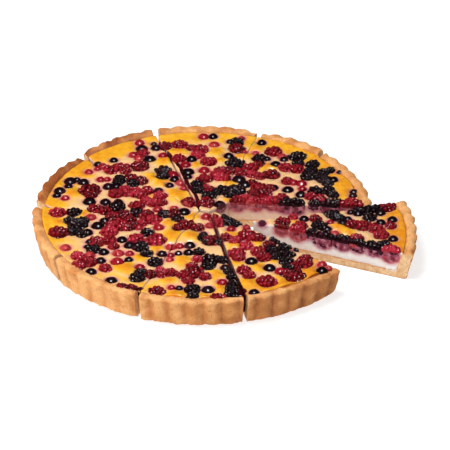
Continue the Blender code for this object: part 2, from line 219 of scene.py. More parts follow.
# Golden domes of custard that rose between the berries: x, y, radius, height
DOMES = (
    (-42, 54, 9, 1.6), (-34, 46, 9, 1.5), (-22, 25, 12, 2.2), (21, 46, 7, 1.5), (-22, 98, 10, 1.6),
    (-33, 83, 10, 1.6), (10, 98, 9, 1.4), (14, 84, 5, 1.0), (-7, 77, 6, 0.8), (44, 104, 8, 1.0), (38, 92, 6, 1.0),
    (-62, -88, 12, 2.0), (-29, -20, 9, 1.6), (-26, -40, 12, 2.0), (-10, -40, 9, 2.2), (-37, -60, 8, 1.6),
    (-16, -77, 10, 1.8), (9, -98, 10, 1.4), (12, -117, 8, 1.4), (-22, -127, 10, 1.0), (2, -131, 7, 0.8),
    (35, -109, 9, 1.4), (26, -80, 6, 1.0), (25, -54, 8, 1.6), (43, -86, 8, 1.4), (54, -76, 6, 0.8),
    (42, -50, 6, 1.5), (84, -97, 11, 1.2), (62, -113, 8, 0.8), (109, -28, 12, 2.4), (116, 40, 12, 1.6),
    (53, 73, 9, 1.6), (22, -36, 7, 0.8), (-9, -8, 7, 0.8), (22, 18, 7, 0.5), (-28, -107, 8, 1.0),
    (-51, -72, 8, 1.2), (73, -14, 7, 0.5), (-108, 29, 11, 1.6), (-100, 60, 10, 0.8), (-117, -18, 10, 0.8),
    (-97, -4, 7, 1.0), (-44, 28, 6, 0.4), (116, -35, 6, 0.5), (30, 90, 6, 0.8),
)

# Where juice ran into the cuts and pooled: lines of (x, y, half width)
JUICE_RUNS = (
    ((-31, 98, 1.2), (-19, 72, 1.8), (-13, 45, 1.5), (-9, 33, 1.5), (-5, 20, 1.5), (-4, 8, 1.2)),
    ((33, -138, 2.0), (28, -120, 3.0), (24, -100, 2.4), (20, -80, 2.0), (15, -55, 1.8), (8, -20, 1.6)),
    ((18, -131, 3.0), (26, -128, 4.5), (29, -122, 4.0)),
    ((-57, -122, 2.5), (-49, -118, 2.5)),
)

# The camera fitted to the photograph
CAMERA_LENS = 231.32
CAMERA_DISTANCE = 2.3516
CAMERA_ELEVATION = math.radians(30.92)
CAMERA_SHIFT = (0.0473, 0.0242)


# ---- Helpers for shapes


def direction(degrees):
    angle = math.radians(degrees)
    return Vector((math.cos(angle), math.sin(angle), 0))


def slice_layout():
    """For each slice: how it lies against the ring, and its cuts as (point, outward) pairs."""
    quarter = Matrix.Rotation(math.pi / 2, 3, "Z")
    layout = []
    for right_tip, right, left_tip, left, slide in RING_SLICES:
        right_point, left_point = Vector((*right_tip, 0)), Vector((*left_tip, 0))
        cuts = [(right_point, -(quarter @ direction(right))), (left_point, quarter @ direction(left))]
        if right_tip != left_tip:
            cuts.append((right_point, quarter @ (left_point - right_point).normalized()))
        layout.append((Matrix.Translation((*slide, 0)), cuts))
    for number, start, end in BROKEN_CORNERS:
        along = (Vector((*end, 0)) - Vector((*start, 0))).normalized()
        layout[number - 1][1].append((Vector((*start, 0)), quarter @ along))
    tip = Vector((*DRAWN_TIP_NOW, 0))
    place = (
        Matrix.Translation(tip)
        @ Matrix.Rotation(math.radians(DRAWN_TURN), 4, "Z")
        @ Matrix.Translation((-DRAWN_TIP[0], -DRAWN_TIP[1], 0))
    )
    right, left = (cut + DRAWN_TURN for cut in DRAWN_CUTS)
    layout.append((place, [(tip, -(quarter @ direction(right))), (tip, quarter @ direction(left))]))
    return layout


SLICES = slice_layout()


def soft_layout():
    """The layout for the custard and the berries, which sagged towards each other until few clefts stayed open."""
    layout = [
        (place, [(point - outward * OPEN_CUT_INSET, outward) for point, outward in cuts]) for place, cuts in SLICES
    ]
    quarter = Matrix.Rotation(math.pi / 2, 3, "Z")
    for number, cleft in enumerate(CLEFTS):
        (_, _, left_tip, left, _), (right_tip, right, _, _, _) = RING_SLICES[number : number + 2]
        near, far = (
            (Vector((*left_tip, 0)) + direction(left) * reach + Vector((*right_tip, 0)) + direction(right) * reach) / 2
            for reach in (25, 128)
        )
        outward = quarter @ (far - near).normalized()
        layout[number][1][1] = (near - outward * cleft / 2, outward)
        layout[number + 1][1][0] = (near + outward * cleft / 2, -outward)
    return layout


SOFT_SLICES = soft_layout()

# The cuts with no neighbour: those on both sides of the slot, and both of the drawn slice
OPEN_CUTS = (SOFT_SLICES[0][1][0], SOFT_SLICES[len(RING_SLICES) - 1][1][1], *SOFT_SLICES[-1][1])


def cut_berry_place(number, distance):
    """The middle of a berry on the right-hand cut of a slice."""
    if number > len(RING_SLICES):
        tip, degrees = DRAWN_TIP_NOW, DRAWN_CUTS[0] + DRAWN_TURN
    else:
        tip, degrees = RING_SLICES[number - 1][:2]
    along = direction(degrees)
    inward = Vector((-along.y, along.x, 0))
    spot = Vector((*tip, 0)) + along * distance + inward * CUT_BERRY_INSET
    return spot.x, spot.y


def node_berries(kind, tones):
    """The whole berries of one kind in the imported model, as (x, y, width, tone)."""
    berries = []
    for number, tone in enumerate(tones, 1):
        low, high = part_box(f"{kind}_{number:02}")
        middle = ((low + high) / 2 - RING_MIDDLE) / MM
        width = (high.x - low.x + high.y - low.y) / 2 / MM
        berries.append((middle.x, middle.y, width, tone))
    return berries


def all_berries():
    """Every berry by kind, as (x, y, width, tone)."""
    draw = random.Random(11)
    found = {
        "raspberry": node_berries("raspberry", RASPBERRY_TONES),
        "small_raspberry": list(RASPBERRIES),
        "bramble": node_berries("bramble", BRAMBLE_TONES) + list(BRAMBLES),
        "redcurrant": [(x, y, width, draw.uniform(0.35, 0.8)) for x, y, width in REDCURRANTS],
        "blackcurrant": [(x, y, width, draw.uniform(0.1, 0.6)) for x, y, width in BLACKCURRANTS],
    }
    for kind, table in (("raspberry_cut", CUT_RASPBERRIES), ("bramble_cut", CUT_BRAMBLES)):
        found[kind] = [(*cut_berry_place(number, along), width, tone) for number, along, width, tone in table]
    return {
        kind: [(x, y, width * BERRY_SPREAD, tone) for x, y, width, tone in berries] for kind, berries in found.items()
    }


BERRIES = all_berries()


def slump(degrees):
    """How far the rim has dropped at this angle."""
    drop = 0
    for middle, depth, width in SLUMPS:
        away = (degrees - middle + 180) % 360 - 180
        drop = max(drop, depth * math.exp(-((away / width) ** 2)))
    return drop


def clamp(value, low=0.0, high=1.0):
    return max(low, min(high, value))


def cut_off(body, point, outward, cap_index=1):
    """Cuts the body along a plane, takes away what lies outward and closes the cut."""
    bmesh.ops.bisect_plane(
        body,
        geom=body.verts[:] + body.edges[:] + body.faces[:],
        plane_co=point,
        plane_no=outward,
        clear_outer=True,
        dist=1e-5,
    )
    open_edges = [edge for edge in body.edges if edge.is_boundary]
    cap = bmesh.ops.holes_fill(body, edges=open_edges)["faces"]
    for face in cap:
        face.material_index = cap_index
        face.smooth = False
    return cap


def finish_mesh(name, body, materials):
    """Puts a finished body into the frame as an object that rides on the root."""
    bmesh.ops.transform(body, matrix=TO_FRAME, verts=body.verts)
    mesh = bpy.data.meshes.new(name)
    body.to_mesh(mesh)
    body.free()
    for material in materials:
        mesh.materials.append(material)
    obj = bpy.data.objects.new(name, mesh)
    bpy.context.scene.collection.objects.link(obj)
    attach(obj, "root")
    return obj


# ---- Helpers for materials


class Tree:
    """Places and joins the nodes of one shader tree."""

    def __init__(self, tree):
        self.tree = tree

    def add(self, kind, settings=None, **sockets):
        node = self.tree.nodes.new(kind)
        for key, value in (settings or {}).items():
            setattr(node, key, value)
        for key, value in sockets.items():
            self.put(node.inputs[key.replace("_", " ")], value)
        return node

    def put(self, socket, value):
        if isinstance(value, bpy.types.NodeSocket):
            self.tree.links.new(value, socket)
        elif socket.type == "RGBA" and len(value) == 3:
            socket.default_value = (*value, 1)
        else:
            socket.default_value = value

    def place(self):
        return self.add("ShaderNodeTexCoord").outputs["Object"]

    def attribute(self, name):
        return self.add("ShaderNodeAttribute", {"attribute_name": name}).outputs["Fac"]

    def noise(self, size_mm, detail=2.0, roughness=0.5, distortion=0.0, vector=None):
        node = self.add(
            "ShaderNodeTexNoise",
            Scale=1 / (size_mm * MM),
            Detail=detail,
            Roughness=roughness,
            Distortion=distortion,
            Vector=vector or self.place(),
        )
        return node.outputs["Fac"]

    def cells(self, size_mm, feature="F1", vector=None):
        node = self.add(
            "ShaderNodeTexVoronoi", {"feature": feature}, Scale=1 / (size_mm * MM), Vector=vector or self.place()
        )
        return node.outputs["Distance"]

    def remap(self, value, low, high, to_low=0.0, to_high=1.0):
        node = self.add("ShaderNodeMapRange")
        for socket, given in zip(node.inputs[:5], (value, low, high, to_low, to_high)):
            self.put(socket, given)
        return node.outputs["Result"]

    def math(self, operation, one, two):
        node = self.add("ShaderNodeMath", {"operation": operation})
        self.put(node.inputs[0], one)
        self.put(node.inputs[1], two)
        return node.outputs["Value"]

    def mix(self, share, one, two, blend="MIX"):
        node = self.add("ShaderNodeMix", {"data_type": "RGBA", "blend_type": blend})
        self.put(node.inputs["Factor"], share)
        self.put(node.inputs[6], one)
        self.put(node.inputs[7], two)
        return node.outputs[2]

    def bump(self, height, distance_mm, strength=1.0, normal=None):
        node = self.add("ShaderNodeBump", Strength=strength, Distance=distance_mm * MM, Height=height)
        if normal:
            self.put(node.inputs["Normal"], normal)
        return node.outputs["Normal"]

    def group(self, name, **sockets):
        """Places a shared node group, with its inputs given by name."""
        node = self.add("ShaderNodeGroup", {"node_tree": bpy.data.node_groups[name]})
        for key, value in sockets.items():
            self.put(node.inputs[key.replace("_", " ")], value)
        return node.outputs


def new_material(name, **sockets):
    """A material with a Principled shader whose constants are set on its own sockets."""
    material = bpy.data.materials.new(name)
    material.use_nodes = True
    shader = material.node_tree.nodes["Principled BSDF"]
    for key, value in sockets.items():
        shader.inputs[key.replace("_", " ")].default_value = value
    return material, Tree(material.node_tree), shader


def new_group(name, inputs, outputs):
    """An empty shared node group with its named inputs and outputs: returns its tree and both end nodes."""
    tree = bpy.data.node_groups.new(name, "ShaderNodeTree")
    for socket_name, kind, default in inputs:
        socket = tree.interface.new_socket(socket_name, in_out="INPUT", socket_type=kind)
        if default is not None:
            socket.default_value = default
    for socket_name, kind in outputs:
        tree.interface.new_socket(socket_name, in_out="OUTPUT", socket_type=kind)
    return Tree(tree), tree.nodes.new("NodeGroupInput").outputs, tree.nodes.new("NodeGroupOutput").inputs


def make_mottle_group():
    """Soft uneven patches: a mask from 0 to 1."""
    tree, given, out = new_group(
        "Mottle",
        (("Size", "NodeSocketFloat", 10.0), ("Low", "NodeSocketFloat", 0.4), ("High", "NodeSocketFloat", 0.6)),
        (("Mask", "NodeSocketFloat"),),
    )
    scale = tree.math("DIVIDE", 1 / MM, given["Size"])
    patches = tree.add(
        "ShaderNodeTexNoise", Scale=scale, Detail=3.0, Roughness=0.55, Distortion=0.4, Vector=tree.place()
    )
    tree.put(out["Mask"], tree.remap(patches.outputs["Fac"], given["Low"], given["High"]))


def make_crumb_group():
    """Baked crumb: a height of lumps and pits, and a mask of small browned specks."""
    tree, given, out = new_group(
        "Crumb",
        (("Size", "NodeSocketFloat", 1.0),),
        (("Height", "NodeSocketFloat"), ("Specks", "NodeSocketFloat")),
    )
    scale = tree.math("DIVIDE", 1 / MM, given["Size"])
    place = tree.place()
    lumps = tree.add("ShaderNodeTexNoise", Scale=scale, Detail=4.0, Roughness=0.65, Vector=place)
    pits = tree.add("ShaderNodeTexVoronoi", Scale=scale, Randomness=1.0, Vector=place)
    pit_height = tree.remap(pits.outputs["Distance"], 0.05, 0.45)
    height = tree.math("ADD", tree.math("MULTIPLY", lumps.outputs["Fac"], 1.2), tree.math("MULTIPLY", pit_height, 0.5))
    tree.put(out["Height"], height)
    fine = tree.add(
        "ShaderNodeTexNoise", Scale=tree.math("MULTIPLY", scale, 1.1), Detail=3.0, Roughness=0.6, Vector=place
    )
    tree.put(out["Specks"], tree.remap(fine.outputs["Fac"], 0.56, 0.68))


def make_bleed_group():
    """Berry juice that has soaked into custard: a colour over the given one."""
    tree, given, out = new_group(
        "Bleed",
        (
            ("Colour", "NodeSocketColor", None),
            ("Red", "NodeSocketColor", None),
            ("Dark", "NodeSocketColor", None),
            ("Deep", "NodeSocketColor", None),
        ),
        (("Colour", "NodeSocketColor"),),
    )
    patchy = tree.remap(tree.noise(4.0, detail=3.0), 0.3, 0.62, 0.65, 1.0)
    red_share = tree.math("MULTIPLY", tree.attribute("bleed_red"), patchy)
    dark_share = tree.math("MULTIPLY", tree.attribute("bleed_dark"), patchy)
    colour = tree.mix(tree.remap(red_share, 0.05, 0.7), given["Colour"], given["Red"])
    colour = tree.mix(tree.remap(dark_share, 0.1, 0.8), colour, given["Dark"])
    deepest = tree.remap(tree.math("MAXIMUM", red_share, dark_share), 0.72, 0.98)
    tree.put(out["Colour"], tree.mix(deepest, colour, given["Deep"]))


def make_groups():
    make_mottle_group()
    make_crumb_group()
    make_bleed_group()


# ---- Settings


def colour_property(name, description, default):
    return FloatVectorProperty(
        name=name, description=description, default=default, size=3, min=0, max=1, subtype="COLOR"
    )


def length_property(name, description, default_mm):
    return FloatProperty(name=name, description=description, default=default_mm * MM, min=0, unit="LENGTH")


class CrustSettings(bpy.types.PropertyGroup):
    flute_depth: length_property("Flute depth", "How deep the grooves between the lobes of the wall are", 1.9)
    relief: length_property("Relief", "How far the baked wall swells and dips", 0.7)
    crumb_relief: length_property("Crumb relief", "How rough the pastry is where the knife went through", 0.3)
    pale: colour_property("Pale pastry", "Pastry that took little colour", (0.85, 0.43, 0.16))
    tan: colour_property("Tan pastry", "Pastry on most of the wall", (0.62, 0.235, 0.062))
    brown: colour_property("Browned pastry", "Pastry on the rim and in the specks", (0.34, 0.085, 0.016))
    inside: colour_property("Cut pastry", "Pastry where the knife went through", (0.86, 0.58, 0.32))


class CustardSettings(bpy.types.PropertyGroup):
    level: length_property("Level", "Height of the custard beside the berries", CUSTARD_LEVEL)
    puff: length_property("Puff", "How far the custard rises away from the berries", 0.8)
    cream: colour_property("Cream", "Custard that took no colour", (0.88, 0.54, 0.25))
    gold: colour_property("Gold", "Custard on the domes", (0.95, 0.46, 0.015))
    orange: colour_property("Orange", "Custard on top of the highest domes", (0.80, 0.26, 0.005))
    inside: colour_property("Cut custard", "Custard where the knife went through", (0.88, 0.84, 0.82))


class BerrySettings(bpy.types.PropertyGroup):
    proud: length_property("Proud", "How far the berries stand above the custard beside them", 2.8)
    raspberry: colour_property("Raspberry", "Most of a raspberry", (0.23, 0.002, 0.008))
    bramble: colour_property("Bramble", "Most of a bramble", (0.009, 0.0015, 0.003))
    redcurrant: colour_property("Redcurrant", "Most of a redcurrant", (0.28, 0.004, 0.013))
    blackcurrant: colour_property("Blackcurrant", "Most of a blackcurrant", (0.009, 0.002, 0.004))


class StageSettings(bpy.types.PropertyGroup):
    key_power: FloatProperty(name="Key light", description="Power of the large light", default=12.0, min=0, unit="POWER")
    world: FloatProperty(name="World light", description="Strength of the light all round", default=0.2, min=0)
    floor: colour_property("Floor", "Colour of the floor", (0.4, 0.4, 0.4))


# ---- Crust


def crust_profile():
    """Half of the shell's section as (radius, height) points, from the middle of the base round to it again."""
    lean = (RIM_R - 0.4 - FOOT_R) / (WALL_H - 2.8)
    outside = [(FOOT_R + lean * height, height) for height in (4, 7, 10, 13, 16, 19, 21.5)]
    return (
        [(0, 0), (60, 0), (112, 0), (FOOT_R - 2.5, 0), (FOOT_R - 0.7, 0.35), (FOOT_R + 0.2, 1.5)]
        + outside
        + [(140.1, 23.0), (139.8, 24.2), (139.0, 25.1), (137.7, 25.5), (136.3, 25.6), (134.9, 25.4), (133.6, 25.1)]
        + [(132.4, 24.6), (131.4, 23.8), (130.7, 22.9), (130.2, 21.6), (129.6, 19.5), (128.6, 16), (127.6, 12)]
        + [(126.6, 8.0), (125.6, 6.8), (123, 6.3)]
        + [(radius, 6.2) for radius in range(120, -1, -12)]
    )


def whole_crust(settings):
    """The shell before it was cut, with its flutes, its slumped rim, and its uneven baked skin with painted shade and
    light.
    """
    body = bmesh.new()
    ring = [body.verts.new((radius, 0, height)) for radius, height in crust_profile()]
    edges = [body.edges.new(pair) for pair in zip(ring, ring[1:])]
    bmesh.ops.spin(
        body,
        geom=ring + edges,
        cent=(0, 0, 0),
        axis=(0, 0, 1),
        angle=math.tau,
        steps=FLUTES * STEPS_A_FLUTE,
        use_merge=True,
    )
    bmesh.ops.remove_doubles(body, verts=body.verts, dist=0.01)
    bmesh.ops.recalc_face_normals(body, faces=body.faces)
    bake_and_painted_light = body.verts.layers.float.new("bake_and_painted_light")
    depth = settings.flute_depth / MM
    for vert in body.verts:
        x, y, z = vert.co
        radius = math.hypot(x, y)
        angle = math.atan2(y, x)
        if radius < 124:
            if z > 1:
                vert.co.z += 1.2 * noise.noise(Vector((x, y, 0)) * 0.09) + 1.0 * noise.noise(Vector((x, y, 9)) * 0.25)
            continue
        lobe = abs(math.cos(FLUTES * angle / 2))
        if z > CUSTARD_TOP:
            height_share = clamp((z - CUSTARD_TOP) / 2.0)
            vert.co.z += height_share * (BACK_LIFT * math.sin(angle) - slump(math.degrees(angle)))
            vert.co.z += height_share * (0.35 * noise.noise(Vector((x, y, 0)) * 0.07) + 0.25 * (lobe - 0.6))
        share = clamp((radius - (RIM_R - 6.2)) / 4.2)
        if z < 1:
            share = 0.8
        grown = OUTLINE_WAVE * math.sin(5 * angle + 1) * math.cos(2 * angle)
        factor = (radius + share * (grown - depth * (1 - lobe))) / radius
        vert.co.x *= factor
        vert.co.y *= factor
    body.normal_update()
    relief = settings.relief / MM
    for vert in body.verts:
        radius = math.hypot(vert.co.x, vert.co.y)
        if radius < 124 or vert.co.z < 0.2:
            vert[bake_and_painted_light] = 0.35
            continue
        spot = vert.co.copy()
        swell = noise.noise(spot * 0.12) + 0.7 * noise.noise(spot * 0.35) + 0.35 * noise.noise(spot * 0.9)
        vert.co += vert.normal * relief * swell
        vert.co.z = max(vert.co.z, 0.15)
        # The colour of the skin: how far it browned, more at the back left and paler on the crest, with painted shade
        # in the grooves between the lobes and on the front wall, and painted light on the lower left wall
        angle = math.atan2(spot.y, spot.x)
        crest = clamp(1 - abs(spot.z - 25) / 3.0)
        degrees = math.degrees(angle) % 360
        browned = math.exp(-(((degrees - 148) / 38) ** 2))
        front = math.exp(-(((degrees - 268) / 30) ** 2))
        painted_groove_shade = 1 - abs(math.cos(FLUTES * angle / 2))
        painted_lower_left_light = clamp(math.cos(angle - math.radians(228)) * 1.6 - 0.6)
        vert[bake_and_painted_light] = clamp(
            0.45
            + 0.55 * browned
            + crest * (0.25 * browned - 0.29)
            + (0.3 * painted_groove_shade + 0.14 * front) * (1 - crest)
            - 0.4 * painted_lower_left_light * (1 - crest)
            + (0.16 + 0.25 * crest) * noise.noise(spot * 0.1)
        )
    for face in body.faces:
        face.smooth = True
    return body


def roughen_cap(body, point, outward, cap_index, step, depth, seed):
    """Divides a fresh cut face into small cells and makes it crumbly, with an uneven line along its base."""
    along = Vector((-outward.y, outward.x, 0))
    faces = [face for face in body.faces if face.material_index == cap_index]
    if not faces:
        return
    reach = [(vert.co - point).dot(along) for face in faces for vert in face.verts]
    low, high = min(reach), max(reach)
    lines = [(point + along * (low + step * n), along) for n in range(1, int((high - low) / step) + 1)]
    lines += [(Vector((0, 0, step * n)), Vector((0, 0, 1))) for n in range(1, int(26 / step) + 1)]
    for line_point, across in lines:
        edges = list({edge for face in faces for edge in face.edges})
        verts = list({vert for face in faces for vert in face.verts})
        cut = bmesh.ops.bisect_plane(
            body, geom=verts + edges + faces, plane_co=line_point, plane_no=across, dist=1e-5
        )
        faces = [item for item in cut["geom"] if isinstance(item, bmesh.types.BMFace)]
    bake_and_painted_light = body.verts.layers.float["bake_and_painted_light"]
    for vert in {vert for face in faces for vert in face.verts}:
        inner = all(face.material_index == cap_index for face in vert.link_faces)
        spot = vert.co * 0.5 + Vector((seed, 0, 0))
        lump = noise.noise(spot) + 0.6 * noise.noise(spot * 2.3) - 0.3
        vert.co += outward * depth * lump * (1 if inner else 0.4)
        if 5 < vert.co.z < 8 and (vert.co - point).dot(along) < high - 12 and not inner:
            vert.co.z += 0.9 * noise.noise(spot * 0.7)
        if inner:
            vert[bake_and_painted_light] = 0.5 * clamp(1.5 - vert.co.z)
    for face in faces:
        face.material_index = 1
        face.smooth = True


def crust_slice(whole, number, settings):
    """One slice: all its cuts first, so that the fine work is done on a small body."""
    place, cuts = SLICES[number - 1]
    body = whole.copy()
    bmesh.ops.transform(body, matrix=place, verts=body.verts)
    for count, (point, outward) in enumerate(cuts):
        cut_off(body, point, outward, cap_index=2 + count)
    for count, (point, outward) in enumerate(cuts):
        roughen_cap(body, point, outward, 2 + count, 1.6, settings.crumb_relief / MM, number * 10 + count)
    return body


def make_crust_materials(settings):
    """The baked skin of the pastry and the crumb inside it."""
    skin, tree, shader = new_material("baked_pastry", Roughness=0.72, Specular_IOR_Level=0.3)
    crumb = tree.group("Crumb", Size=1.3)
    patches = tree.group("Mottle", Size=9.0, Low=0.36, High=0.64)["Mask"]
    # The skin's colour follows how far it browned, together with the painted shade and painted light stored with that
    # on the shell
    bake_and_painted_light = tree.math("ADD", tree.attribute("bake_and_painted_light"), tree.remap(patches, 0, 1, -0.14, 0.14))
    colour = tree.mix(tree.remap(bake_and_painted_light, 0.1, 0.5), tuple(settings.pale), tuple(settings.tan))
    colour = tree.mix(tree.remap(bake_and_painted_light, 0.55, 1.0), colour, tuple(settings.brown))
    specks = tree.math("MULTIPLY", crumb["Specks"], 0.7)
    colour = tree.mix(specks, colour, tuple(settings.brown))
    tree.put(shader.inputs["Base Color"], colour)
    tree.put(shader.inputs["Roughness"], tree.remap(bake_and_painted_light, 0.3, 1.0, 0.78, 0.5))
    tree.put(shader.inputs["Normal"], tree.bump(crumb["Height"], 0.4, 0.9))

    cut, tree, shader = new_material("cut_pastry", Roughness=0.85, Specular_IOR_Level=0.2)
    crumb = tree.group("Crumb", Size=1.1)
    patches = tree.group("Mottle", Size=5.0, Low=0.4, High=0.62)["Mask"]
    colour = tree.mix(tree.math("MULTIPLY", patches, 0.5), tuple(settings.inside), tuple(settings.tan))
    colour = tree.mix(tree.remap(tree.attribute("bake_and_painted_light"), 0.1, 0.4), colour, tuple(settings.tan))
    colour = tree.mix(tree.math("MULTIPLY", crumb["Specks"], 0.55), colour, tuple(settings.brown))
    tree.put(shader.inputs["Base Color"], colour)
    tree.put(shader.inputs["Normal"], tree.bump(crumb["Height"], 0.35, 1.0))
    return skin, cut


# ---- Custard


def berry_arrays():
    """All berries as arrays: place and width, and whether they are dark."""
    rows = []
    for kind, berries in BERRIES.items():
        dark = kind.startswith("bramble") or kind == "blackcurrant"
        rows += [(x, y, width, tone, dark) for x, y, width, tone in berries]
    return np.array(rows, float).T


def smooth_step(value):
    value = np.clip(value, 0, 1)
    return value * value * (3 - 2 * value)


def juice_share(x, y):
    """How much juice lies at each point, from 0 to 1."""
    share = np.zeros_like(x)
    for run in JUICE_RUNS:
        for (ax, ay, aw), (bx, by, bw) in zip(run, run[1:]):
            length = (bx - ax) ** 2 + (by - ay) ** 2
            along = np.clip(((x - ax) * (bx - ax) + (y - ay) * (by - ay)) / length, 0, 1)
            away = np.hypot(x - ax - along * (bx - ax), y - ay - along * (by - ay))
            half = aw + along * (bw - aw)
            share = np.maximum(share, smooth_step(1.3 - away / (half * 1.3)))
    return share


def own_polar(place, x, y):
    """Radius and angle in degrees of points in the tart as it was before its slices moved."""
    back = place.inverted()
    own_x = back[0][0] * x + back[0][1] * y + back[0][3]
    own_y = back[1][0] * x + back[1][1] * y + back[1][3]
    return np.hypot(own_x, own_y), np.degrees(np.arctan2(own_y, own_x))


def custard_surface(x, y, place, settings):
    """Heights of the custard's skin, and how golden it is, at points in the final place of a slice."""
    own_radius, own_angle = own_polar(place, x, y)
    bx, by, width, _, _ = berry_arrays()
    away = np.hypot(x[:, None] - bx, y[:, None] - by)
    edge = away - width / 2
    nearest = edge.min(axis=1)
    puff = settings.puff / MM
    height = settings.level / MM + puff * smooth_step(nearest / 5.5)
    inside = away / (width / 2)
    height -= (DIP_DEPTH * np.clip((1.0 - inside) / DIP_SHARE, 0, 1)).max(axis=1)
    gold = np.zeros_like(x)
    for dome_x, dome_y, radius, rise in DOMES:
        dome = np.exp(-((np.hypot(x - dome_x, y - dome_y) / radius) ** 2) * 1.3)
        open_share = smooth_step((nearest + 0.8) / 2.5)
        height += rise * dome * open_share
        gold = np.maximum(gold, dome * (0.35 + 0.65 * open_share))
    rim = smooth_step((own_radius - 104) / 18)
    height += 0.5 * smooth_step((own_radius - 124) / 6)
    angles, strengths = zip(*RIM_GOLD)
    strength = np.interp(own_angle, angles, strengths, period=360)
    gold = np.maximum(gold, strength * rim * (0.35 + 0.65 * smooth_step((nearest + 1) / 3)))
    return height, gold


def bleed_shares(points):
    """How much red and dark juice has soaked into each point of the custard."""
    bx, by, width, _, dark = berry_arrays()
    middle_z = CUSTARD_TOP + 1.6 - width * 0.4
    offset = np.stack(
        [points[:, 0, None] - bx, points[:, 1, None] - by, (points[:, 2, None] - middle_z) * 1.25], axis=2
    )
    away = np.linalg.norm(offset, axis=2) - width / 2
    # Juice sinks: it goes further below a berry than beside it
    below = np.clip((middle_z - points[:, 2, None]) / 3, 0, 1)
    halo = np.exp(-(np.clip(away, 0, None) / (1.9 + 0.6 * below)) ** 1.5)
    red = (halo * (1 - dark)).max(axis=1)
    black = (halo * dark).max(axis=1)
    return red, black


def custard_disc():
    """A flat round sheet of even cells."""
    radius, cells = RIM_R - WALL_T - 1.6, 250
    body = bmesh.new()
    bmesh.ops.create_grid(body, x_segments=cells, y_segments=cells, size=1)
    for vert in body.verts:
        u, v = vert.co.x, vert.co.y
        vert.co = (radius * u * math.sqrt(1 - v * v / 2), radius * v * math.sqrt(1 - u * u / 2), 0)
    return body


def lower_wall(body, place, levels, bottom):
    """Draws the open edge of the custard's skin down to the base in steps, and closes it underneath."""
    middle = place @ Vector((0, 0, 0))
    for level in range(levels):
        border = [edge for edge in body.edges if edge.is_boundary]
        grown = bmesh.ops.extrude_edge_only(body, edges=border)["geom"]
        verts = [item for item in grown if isinstance(item, bmesh.types.BMVert)]
        for vert in verts:
            drop = (vert.co.z - bottom) / (levels - level)
            vert.co.z -= drop
            radial = (vert.co - middle).xy
            if radial.length > 118:
                factor = 1 - 0.25 * drop / radial.length
                vert.co.x = middle.x + radial.x * factor
                vert.co.y = middle.y + radial.y * factor
    bmesh.ops.holes_fill(body, edges=[edge for edge in body.edges if edge.is_boundary])


def custard_slice(disc, number, settings):
    place, cuts = SOFT_SLICES[number - 1]
    body = disc.copy()
    bmesh.ops.transform(body, matrix=place, verts=body.verts)
    for point, outward in cuts:
        bmesh.ops.bisect_plane(
            body,
            geom=body.verts[:] + body.edges[:] + body.faces[:],
            plane_co=point,
            plane_no=outward,
            clear_outer=True,
            dist=1e-4,
        )
    flat = np.array([vert.co.xy for vert in body.verts])
    heights, _ = custard_surface(flat[:, 0], flat[:, 1], place, settings)
    for vert, height in zip(body.verts, heights):
        spot = Vector((vert.co.x, vert.co.y, 3))
        vert.co.z = height + 0.28 * noise.noise(spot * 0.16) + 0.12 * noise.noise(spot * 0.5)
        beside_cut = min((point - vert.co.xy.to_3d()).dot(outward) for point, outward in cuts)
        vert.co.z -= 0.4 * clamp(1.0 - beside_cut)
    lower_wall(body, place, 8, 5.0)
    bmesh.ops.recalc_face_normals(body, faces=body.faces)
    for face in body.faces:
        face.smooth = True
        on_cut = any(face.normal.dot(outward) > 0.85 for _, outward in cuts)
        face.material_index = int(on_cut and abs(face.normal.z) < 0.5)
    for point, outward in cuts:
        for vert in body.verts:
            if abs((vert.co - point).dot(outward)) < 0.01:
                vert.co += outward * 0.22 * (noise.noise(vert.co * 0.45 + Vector((number, 0, 0))) - 0.3)
    paint_custard(body, place, settings)
    return body


def paint_custard(body, place, settings):
    """Stores how golden, how stained and how wet the custard is at each of its points, and where its cut faces get
    painted warm shade.
    """
    points = np.array([vert.co[:] for vert in body.verts])
    _, gold = custard_surface(points[:, 0], points[:, 1], place, settings)
    red, black = bleed_shares(points)
    juice = juice_share(points[:, 0], points[:, 1])
    # Painted warm shade on the cut faces of the slices still in the ring; the drawn slice's cut face stays pale
    painted_ring_shade = np.full_like(gold, float(place is not SLICES[-1][0]))
    layers = (("gold", gold), ("bleed_red", red), ("bleed_dark", black), ("juice", juice), ("painted_ring_shade", painted_ring_shade))
    for name, values in layers:
        layer = body.verts.layers.float.new(name)
        for vert, value in zip(body.verts, values):
            vert[layer] = value


